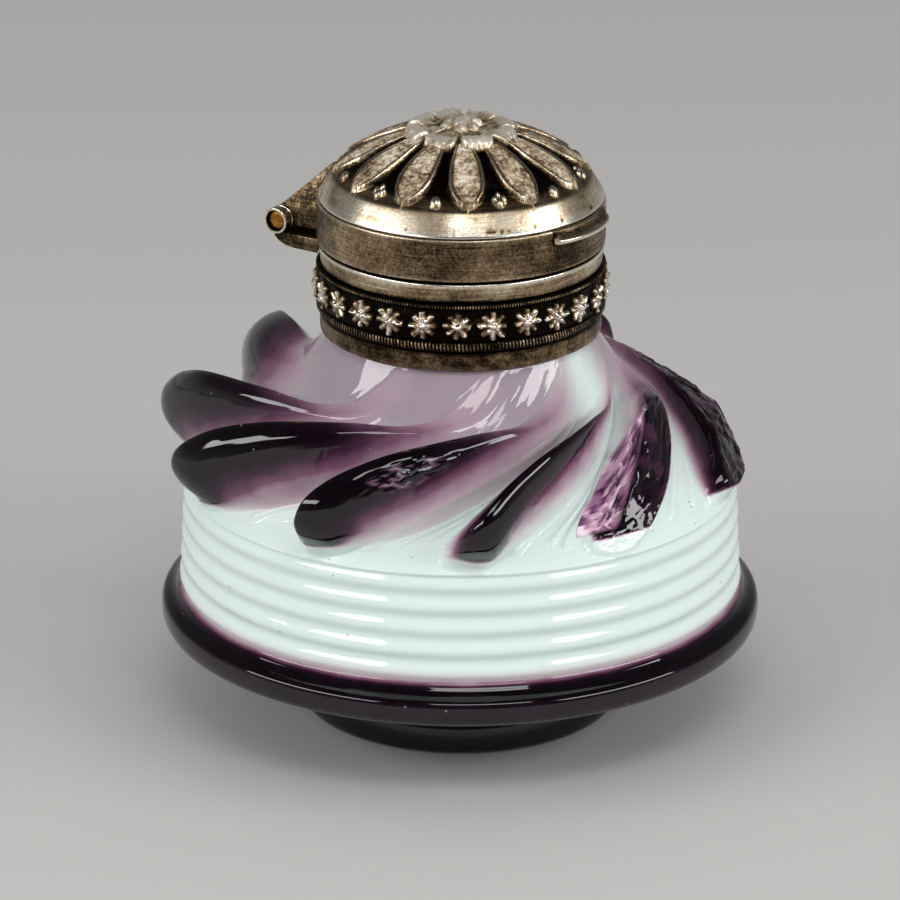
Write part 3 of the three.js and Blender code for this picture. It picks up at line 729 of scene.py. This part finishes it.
def turned_ring(name, outline, count, body, node, finish, dents=0.0, relief=None, laid=list):
    """A closed ring: outline rows of radius, height, hollow and wear, going up on the outside."""
    r, z, hollow, wear = (
        column[:, None] * np.ones((1, count)) for column in np.array(outline, float).T)
    angle = circle(count)
    points = round_rows(r, z, angle)
    outside = (r > r.min() + .1) & (hollow < .9)
    r = r + outside * dents * (lumps(points, 4, 3) + .4 * lumps(points, 1.2, 4))
    if relief is not None:
        height, hollow, wear = relief(r, z, angle)
        r = r + height
    make_piece(name, laid(round_rows(r, z, angle)), body, node, finish,
               {"hollow": hollow, "wear": wear}, closed=True)


turned_ring("plain_collar_skirt", [
    (13.42, 39.5, .8, 0), (13.75, 39.51, .4, .2), (13.87, 39.6, .05, .45), (13.9, 39.75, 0, .2),
    (13.9, 40.1, 0, 0), (13.9, 40.5, 0, 0), (13.9, 40.9, 0, 0), (13.89, 41.15, .15, 0),
    (13.8, 41.35, .6, 0), (13.6, 41.44, 1, 0), (13.42, 41.45, 1, 0)],
    480, "bottle", "collar_skirt", stained_silver, .03)
turned_ring("inner_tube_with_bezel", [
    (13.02, 39.8, .9, 0), (13.33, 39.8, .9, 0), (13.35, 40, .8, 0), (13.35, 48.2, .8, 0),
    (13.35, 49, .3, 0), (13.34, 49.25, .1, .6), (13.28, 49.34, 0, 1), (13.18, 49.35, 0, 1),
    (13.05, 49.33, 0, .8), (13, 49.25, .2, .5), (13, 48.6, .3, 0), (13, 40, .9, 0)],
    240, "bottle", "collar_tube", rubbed_silver)
turned_ring("plain_flaring_rim", [
    (13.42, 46.4, 1, 0), (13.78, 46.4, 1, 0), (13.85, 46.5, .7, 0), (13.87, 46.65, .25, 0),
    (13.9, 46.9, .05, 0), (13.94, 47.2, 0, 0), (13.98, 47.5, 0, 0), (14.02, 47.8, 0, .05),
    (14.07, 48.02, 0, .5), (14.1, 48.16, 0, .95), (14.07, 48.29, 0, 1), (13.98, 48.35, .1, .8),
    (13.7, 48.35, .8, 0), (13.42, 48.35, 1, 0)],
    480, "bottle", "collar_rim", rubbed_silver, .02)

# %% [markdown]
# Milled wire is made by rolling a wire under a toothed wheel. The lower one is roped with
# slanting beads, the upper one has fine upright teeth.


# %% Milled wires
def milled_wire(name, low, high, teeth, slant, cut, node, finish):
    """A wire with this many teeth, that lean by slant and are cut this deep, as a share."""
    section = np.radians(np.arange(0, 360, 24))[:, None] - math.pi / 2
    angle = circle(6 * teeth)
    bead = np.abs(np.sin(teeth / 2 * angle + slant * section))
    out = np.clip(np.cos(section), 0, 1)
    swell = 1 - cut * (1 - bead ** .7) * out
    r = 13.85 + .45 * np.cos(section) * swell + .02 * lumps(round_rows(13.85, low, angle), 2, 6)
    z = (low + high) / 2 + (high - low) / 2 * np.sin(section) * np.ones_like(bead)
    points = round_rows(np.clip(r, 13.4, 14.3), z, angle)
    rubbed = np.clip(.4 + .5 * lumps(points, 1.5, 9), 0, 1)
    marks = {"hollow": np.clip((1 - bead) * 1.2 + (1 - out) * .6, 0, 1),
             "wear": bead ** 2 * out ** 2 * rubbed}
    make_piece(name, points, "bottle", node, finish, marks, closed=True)


milled_wire("roped_lower_wire", 41.5, 42.55, 250, .5, .24, "milled_wire_lower", wire_silver)
milled_wire("toothed_upper_wire", 45.8, 46.35, 320, 0, .4, "milled_wire_upper", stained_silver)

# %% [markdown]
# The stars were struck from the back with a punch, one beside the other: eight narrow rays of
# uneven length that fall away from a round boss. The ground round them is black and the bosses
# are rubbed white.


# %% Strip of stars
STARS, FIRST_STAR, STAR_HEIGHT, STRUCK = 26, 4.1, 44.18, .74     # struck .74 mm proud


def repeats(angle, first, count):
    """How far each angle is from the nearest of count even spots, and that spot's number."""
    pitch, start = 2 * math.pi / count, math.radians(first)
    return (angle - start + pitch / 2) % pitch - pitch / 2, np.round((angle - start) / pitch)


def stamped_stars(r, z, angle):
    """Height, hollow and wear of the strip at these points."""
    slip, which = repeats(angle, FIRST_STAR, STARS)
    which = which % STARS
    chance = scatter(np.stack([which, which * 0, which * 0], -1), 8)
    s, t = slip * 14.2 + .1 * (chance - .5), z - STAR_HEIGHT
    rho, phi = np.hypot(s, t), np.arctan2(t, s) + .25 * (chance - .5)
    off_ray, number = repeats(phi, 0, 8)
    long = scatter(np.stack([which + 0 * number, number, 0 * number], -1), 9)
    beside = rho * np.abs(np.sin(off_ray))
    ray = np.clip(1 - beside / (.5 - .1 * rho), 0, 1) ** .5
    ray = ray * np.clip((1.36 + .3 * long - rho) / .2, 0, 1) ** .5
    boss = np.exp(-(rho / .5) ** 2)
    worn = .8 + .4 * lumps(round_rows(r, z, angle), .4, 5)
    height = np.maximum((.48 + .2 * long) * ray * (1 - .12 * rho) * worn, STRUCK * boss)
    face = (r > 13.6) & (z > 42.68) & (z < 45.7)
    height = np.where(face, np.clip(height, 0, STRUCK), 0)
    high = height / STRUCK
    return height, np.clip(1 - 2 * high, 0, 1), .85 * step(.3, .75, high) * worn


strip_rows = [
    (14.05, 42.6, 1, 0), *((14.13, z, 1, 0) for z in np.linspace(42.66, 45.7, 40)),
    (14.05, 45.75, 1, 0), (13.42, 45.75, 1, 0), (13.42, 42.6, 1, 0)]
turned_ring("strip_of_stamped_stars", strip_rows, STARS * 48, "bottle", "star_strip",
            stamped_silver, 0, stamped_stars)

# %% [markdown]
# ## The lid
#
# A brushed band, a polished sloping border and an embossed dome. The struck mark on the band's
# side is left bare. The dome was chased: twelve pointed leaves with a raised double outline and
# a matted middle, and between their tips small studs, plain and four-lobed by turns.

# %% Band of the lid
band_rows = [
    (13.72, 48.6, 1, 0), (14.02, 48.6, 1, 0), (14.13, 48.64, .5, .5), (14.19, 48.75, .1, .7),
    (14.2, 48.9, 0, .15), *((14.2, z, 0, 0) for z in np.linspace(49.2, 52.3, 9)),
    (14.2, 52.55, 0, .1), (14.19, 52.7, 0, .5), (14.14, 52.82, 0, .9), (14.02, 52.89, .2, .6),
    (13.72, 52.9, 1, 0)]
turned_ring("brushed_lid_band", band_rows, 480, "lid", "lid_band", band_silver, .022)

# %% The chased dome's relief, in mm above the plain dome
DOME_TOP, DOME_R, DOME_RISE = 59.7, 12.8, 4.5
BALL = (DOME_R ** 2 + DOME_RISE ** 2) / (2 * DOME_RISE)     # the radius of the ball it is part of
LEAVES, FIRST_LEAF, FIRST_STUD = 12, 6, 21


def dome_height(r):
    """Height of the plain dome at these radii."""
    return DOME_TOP - BALL + np.sqrt(BALL ** 2 - np.asarray(r, float) ** 2)


def chased(r, angle):
    """Relief, hollow, wear and matting of the dome at these radii and angles."""
    slip, _ = repeats(angle, FIRST_LEAF, LEAVES)
    half = np.interp(r, [4.6, 5.5, 6.5, 7.5, 9, 10.2, 11.2, 11.9, 12.3, 12.5],
                     [.7, .95, 1.2, 1.45, 1.68, 1.74, 1.5, 1.05, .5, 0])
    u = np.abs(r * np.sin(slip)) / np.maximum(half, .02)
    leaf = np.interp(u, [0, .3, .7, .78, .84, .9, .96, 1.03, 1.12, 1.3],
                     [.54, .52, .45, .36, .42, .55, .5, .2, -.12, -.2])
    inside, middle = step(1.12, 1.0, u), step(.8, .68, u)
    flat = round_rows(r, 0, angle)
    grain = middle * (lumps(flat, .22, 7) + .5 * lumps(flat, .6, 17))
    hollow = np.interp(u, [0, .62, .73, .79, .85, .98, 1.06, 1.5],
                       [.2, .24, .36, .5, .15, .2, .9, 1]) + .3 * grain
    wear = np.interp(u, [.82, .88, .94, 1.0], [0, .6, .6, 0])
    ease = step(10.6, 12.4, r) * (1 - inside)
    hollow, height = hollow - .62 * ease, leaf + .04 * grain + .1 * ease

    # The studs between the leaf tips: a single knob, or a cluster of four.
    slip, which = repeats(angle, FIRST_STUD, LEAVES)
    s, t = r * np.sin(slip), r * np.cos(slip)
    for across, out, size, kind in ((0, 11.95, .55, 0), (0, 12.1, .36, 1), (-.42, 11.72, .36, 1),
                                    (.42, 11.72, .36, 1), (0, 11.3, .3, 1)):
        near = np.hypot(s - across, t - out) / size
        knob = np.sqrt(np.clip(1 - near ** 2, 0, 1)) * (which % 2 == kind)
        height = np.maximum(height, -.1 + knob * (.3 + size * .5) * (knob > 0))
        hollow = np.where(knob > 0, .7 - .75 * knob, hollow)
        wear = np.where(knob > 0, knob ** 3 * .6, wear)
    edge = step(12.8, 12.45, r)
    hollow = np.clip(hollow, -.3, 1) * (.25 + .75 * edge)
    return height * edge, hollow, np.clip(wear, 0, 1), middle * edge


# %% Border and dome
border = np.array([
    (13.72, 52.97, 1, 0), (13.98, 52.96, .6, .2), (14.05, 53.02, 0, .9), (14.02, 53.12, 0, 1),
    (13.95, 53.24, .02, .7), (13.8, 53.5, .04, .3), (13.6, 53.85, .04, .1),
    (13.35, 54.28, .02, .1), (13.1, 54.7, .04, .05), (12.9, 55.04, .1, 0), (12.8, 55.18, .25, .2)])
field_r = np.concatenate([np.arange(12.72, 5.0, -.095), [4.6]])[:, None]
dome_angle = circle(720)
relief, field_hollow, field_wear, field_matted = chased(field_r, dome_angle[None, :])
border_rows = turned(border, dome_angle)
dented = .0012 * lumps(border_rows, 4, 8) * step(53.1, 53.6, border[:, 1])[:, None]
border_rows[..., :2] *= 1 + dented[..., None]
field_rows = round_rows(field_r, dome_height(field_r) + relief, dome_angle)
cap_r = np.array([4.6, 3, 1.5])[:, None]
cap_rows = round_rows(cap_r, dome_height(cap_r) - .1, dome_angle[::8])
under_rows = turned(np.array([(4, 58.7), (8, 57.3), (10.4, 56.0), (12.45, 54.7)]), dome_angle[::8])
rows = [on_axis(59.1), *under_rows, *border_rows, *field_rows, *cap_rows, on_axis(59.6)]
pits = step(.45, .7, lumps(border_rows, .5, 9)) * within(53.1, 53.2, 53.6, 54, border[:, 1:2])
border_hollow = border[:, 2:3] + .12 * lumps(border_rows * (1, 1, 3), 2, 10) + .7 * pits
border_wear = np.repeat(border[:, 3], len(dome_angle))
below, above = np.ones(1 + under_rows.size // 3), np.ones(cap_rows.size // 3 + 1)
marks = {name: [unseen * below, on_border, on_field, unseen * above]
         for name, unseen, on_border, on_field in (
             ("hollow", 1, border_hollow, field_hollow), ("wear", 0, border_wear, field_wear),
             ("matted", 0, 0 * pits, field_matted))}
make_piece("chased_dome", rows, "lid", "lid_dome", chased_silver, marks)

# %% [markdown]
# The rosette was cast and soldered on top: eight curled shells with ribs round a lumpy middle,
# worn almost smooth on their upper lips and black in between.

# %% Rosette
SHELLS, FIRST_SHELL = 8, 7
rose_r = np.concatenate([[5.78, 5.76, 5.7], np.arange(5.6, .1, -.1)])[:, None]
rose_angle = circle(480)
slip, _ = repeats(rose_angle, FIRST_SHELL, SHELLS)
half = np.interp(rose_r, [1.2, 2.5, 4, 5, 5.5, 5.76], [.35, .85, 1.45, 1.72, 1.5, .9])
shell = np.abs(rose_r * np.sin(slip)) / half
rise = np.interp(rose_r, [1.2, 2, 3, 3.9, 4.5, 5.0, 5.4, 5.68, 5.78],
                 [.25, .3, .5, .8, 1.0, .96, .76, .4, 0])
ribs = np.cos(5 * math.pi * np.clip(shell, 0, 1)) * np.interp(rose_r, [2.5, 4, 5], [.01, .025, .05])
bowl = 1 - .35 * np.exp(-((rose_r - 3.3) / .7) ** 2)
shells = (rise * bowl + ribs) * step(1.08, .86, shell)
plate = np.interp(rose_r, [4.7, 5.4, 5.78], [.3, .12, 0])
beads = [(0, 0, 1.1, 1.12)] + [(1.5 * math.cos(a), 1.5 * math.sin(a), .78, .9)
                               for a in np.radians([20, 88, 140, 212, 262, 325])]
flat = round_rows(rose_r, 0, rose_angle)
middle = np.zeros(flat.shape[:2])
for x, y, size, high in beads:
    near = np.hypot(flat[..., 0] - x, flat[..., 1] - y) / size
    middle = np.maximum(middle, high * np.sqrt(np.clip(1 - near ** 2, 0, 1)))
rose = np.maximum(np.maximum(shells, plate * .8), middle)
uneven = .1 * lumps(flat, .45, 11) + .2 * lumps(flat, 1.1, 12)
rose = np.clip(rose + uneven * step(.1, .4, rose), 0, 1.18)
rose[0] = 0
rose_rows = round_rows(rose_r, dome_height(rose_r) + .06 + rose, rose_angle)
bottom_r = np.array([[2.5], [5.6]])
bottom = round_rows(bottom_r, dome_height(bottom_r) + .05, rose_angle[::8])
rows = [on_axis(59.76), *bottom, *rose_rows, on_axis(60.93)]
hollow = np.clip(1.12 - 1.5 * rose / np.maximum(rise, .5), 0, 1)
below = np.ones(1 + bottom.size // 3)
marks = {"hollow": [below, hollow, 0], "wear": [0 * below, step(.6, 1.05, rose) * .6, .5],
         "matted": [np.full(below.size + rose.size + 1, .4)]}
make_piece("cast_rosette_of_shells", rows, "lid", "lid_rosette", chased_silver, marks)

# %% [markdown]
# The thumb-lift is a little crescent shelf. Its lip is rubbed bright by the nail that opens the
# lid, its top sweeps up to the lid's shoulder, and its ends are cut off blunt.


# %% Thumb-lift
def with_ends(rows):
    """The rows, closed at both ends with a point in the middle."""
    return [rows[0].mean(0, keepdims=True), *rows, rows[-1].mean(0, keepdims=True)]


# Outline of the shelf: how far out, how far up, hollow and wear.
section = np.array([
    (.1, 2.18, .1, .3), (.14, 2.05, .15, .1), (.2, 1.85, .3, 0), (.3, 1.6, .3, 0),
    (.45, 1.36, .2, 0), (.66, 1.16, .05, .1), (.86, 1.03, 0, .5), (.96, .92, 0, 1), (1, .75, 0, 1),
    (.99, .55, 0, 1), (.92, .4, 0, .8), (.75, .28, .3, .2), (.5, .2, .8, 0), (.2, .14, 1, 0),
    (0, .1, 1, 0), (0, 1.1, 1, 0), (0, 2.18, .6, 0)])
lift_z = 50.7 + (.62 + .715 * section[:, 1])
share = np.linspace(-1, 1, 61)
bulge = .2 + .85 * (1 - np.abs(share) ** 2.4) ** .42
arc = np.radians(-89 + 19.5 * share)
lift_rows = [round_rows(14.25 + reach * section[:, 0], lift_z, a) for reach, a in zip(bulge, arc)]
marks = {name: [.5, np.tile(section[:, i], len(share)), .5]
         for i, name in ((2, "hollow"), (3, "wear"))}
make_piece("crescent_thumb_lift", with_ends(lift_rows), "lid", "thumb_lift",
           rubbed_silver, marks)

# %% Gilt liner inside the lid
LINER_R, SAG = 13.65, 1.18
under, over = np.array([4, 8, 11, 13, 13.6]), np.array([LINER_R, 13.6, 12, 8, 4])
liner_r = np.concatenate([under, over])[:, None]
liner_z = np.concatenate([53.2 - SAG * (under / LINER_R) ** 2, [52.2],
                          53.6 - SAG * (over[1:] / LINER_R) ** 2])[:, None]
rows = [on_axis(53.2), *round_rows(liner_r, liner_z, circle(180)), on_axis(53.6)]
make_piece("gilt_liner", rows, "lid", "lid_liner", gilding)

# %% [markdown]
# ## The hinge
#
# Two short tubes on the collar's bearer plate and one long tube on the lid, with a brass pin
# driven through them and filed off a little short, so its brown end shows as a disc. The plate
# and the leaf are sawn sheet with filed edges.


# %% Tubes and pin
PIN_Y, PIN_Z = 17.3, 49.0


def along_pin(rows):
    """Rows turned round the z axis, laid along the hinge's pin."""
    return [np.stack([row[..., 2], row[..., 0] + PIN_Y, row[..., 1] + PIN_Z], -1) for row in rows]


for name, start, end, body, node in (
        ("left_hinge_tube", -7.15, -6.15, "bottle", "hinge_knuckle_left"),
        ("right_hinge_tube", 6.15, 7.15, "bottle", "hinge_knuckle_right"),
        ("long_lid_tube", -6, 6, "lid", "lid_knuckle")):
    turned_ring(name, [
        (1.05, start, .5, 0), (1.12, start, .05, .5), (1.26, start, 0, .8),
        (1.31, start + .05, 0, 1), (1.33, start + .14, .05, .4), (1.33, end - .14, .05, .4),
        (1.31, end - .05, 0, 1), (1.26, end, 0, .8), (1.12, end, .05, .5), (1.05, end, .5, 0),
        (1.03, end - .03, 1, 0), (1.03, start + .03, 1, 0)],
        72, body, node, rubbed_silver, laid=along_pin)
pin_outline = np.array([(.5, -6.94), (.86, -6.9), (.94, -6.8), (.95, -6.6), (.95, 6.6),
                        (.94, 6.8), (.86, 6.9), (.5, 6.94)])
pin_rows = along_pin([on_axis(-6.95), *turned(pin_outline, circle(48)), on_axis(6.95)])
make_piece("filed_brass_pin", pin_rows, "bottle", "hinge_pin", brass_pin)

# %% Bearer plate: thick sheet that wraps under the tubes
COLLAR_R = 14.16
under_tube = [(PIN_Y + 1.39 * math.cos(a), PIN_Z + 1.39 * math.sin(a))
              for a in np.radians([-84, -96, -108, -120, -131])]
plate_rows = []
for x in (-7.15, -7.1, *np.linspace(-7, 7, 29), 7.1, 7.15):
    back, inset = math.sqrt(COLLAR_R ** 2 - x ** 2), .06 * (abs(x) > 7.12)
    profile = [(back, 46.6 + inset), (15.2, 46.6 + inset), (16.1, 46.72 + inset),
               (16.8, 47.0 + inset), (17.25, 47.35 + inset), *under_tube,
               (16.1, 48 - inset), (back, 48 - inset)]
    plate_rows.append(np.array([(x, y, z) for y, z in profile]))
plate = make_piece("wrapped_bearer_plate", with_ends(plate_rows), "bottle", "hinge_plate",
                   stained_silver)
plate.data.set_sharp_from_angle(angle=math.radians(40))

# %% Leaf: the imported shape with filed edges
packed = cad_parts["lid_hinge_leaf"]
mesh = packed.data.copy()
mesh.transform(packed.matrix_world)
shape = bmesh.new()
shape.from_mesh(mesh)
bmesh.ops.remove_doubles(shape, verts=shape.verts, dist=.002 * MM)
bmesh.ops.dissolve_limit(shape, angle_limit=math.radians(2), verts=shape.verts, edges=shape.edges)
corners = [edge for edge in shape.edges if edge.calc_face_angle(0) > math.radians(28)]
bmesh.ops.bevel(shape, geom=corners, offset=.12 * MM, segments=3, profile=.5, affect="EDGES",
                clamp_overlap=True)
shape.to_mesh(mesh)
shape.free()
mesh.name = "filed_lid_leaf"
mesh.materials.clear()
mesh.materials.append(stained_silver)
leaf = add_piece("filed_lid_leaf", mesh, "lid", "lid_hinge_leaf")
leaf.data.set_sharp_from_angle(angle=math.radians(35))

# %% [markdown]
# ## Stopper and plaster
#
# The stopper is clear glass. Its plug is ground into the bore, which leaves it frosted, and its
# flat head is cut and polished. The collar sits in plaster round the neck, dull and crumbly.

# %% Ground and polished clear glass
clear_glass, tree, shader = new_finish(
    "clear_glass_with_a_ground_plug", Base_Color=linear("F2F7F5"), IOR=GLASS_IOR,
    Transmission_Weight=1.0)
place = add_node(tree, "TexCoord").outputs["Object"]
ground = add_node(tree, "Attribute", attribute_name="ground").outputs["Fac"]
haze = add_node(tree, "TexNoise", {"Vector": place, "Scale": 1 / (1.2 * MM), "Detail": 3.0})
polish = add_node(tree, "MapRange", {0: haze, 1: .35, 2: .7, 3: .015, 4: .06})
frost = add_node(tree, "Mix", {0: ground, 2: polish, 3: .42})
feed(tree, shader, Roughness=frost)

# Outline: radius, height and how far it is ground.
outline = np.array([
    (4.45, 38.5, 0), (4.6, 38.56, .2), (4.66, 38.75, 1), (4.85, 42.5, 1), (5.07, 46.8, 1),
    (5.1, 47.0, .4), (6.9, 47.0, 0), (7.2, 47.1, 0), (7.36, 47.35, 0), (7.4, 47.7, 0),
    (7.4, 48.5, 0), (7.34, 48.68, 0), (6.7, 49.35, 0), (5.95, 50.08, 0), (5.7, 50.19, 0),
    (3, 50.2, 0)])
stopper_angle = circle(144)
rows = [on_axis(38.5), *turned(outline, stopper_angle), on_axis(50.2)]
marks = {"ground": [0, np.repeat(outline[:, 2], len(stopper_angle)), 0]}
make_piece("ground_glass_stopper", rows, "stopper", "glass_stopper", clear_glass,
           marks)

# %% Plaster
plaster, tree, shader = new_finish("crumbly_neck_plaster", Roughness=.92)
place = add_node(tree, "TexCoord").outputs["Object"]
grit = add_node(tree, "TexNoise", {
    "Vector": place, "Scale": 1 / (.5 * MM), "Detail": 6.0, "Roughness": .7})
tint = add_node(tree, "ValToRGB", {"Fac": grit}, stops=[(.3, "8F8573"), (.7, "D8D0BF")])
feed(tree, shader, Base_Color=tint)
pits = add_node(tree, "Bump", {"Height": grit, "Strength": .5, "Distance": .1 * MM})
feed(tree, shader, Normal=pits)
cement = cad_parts["neck_cement"]
cement.data.materials.clear()
cement.data.materials.append(plaster)
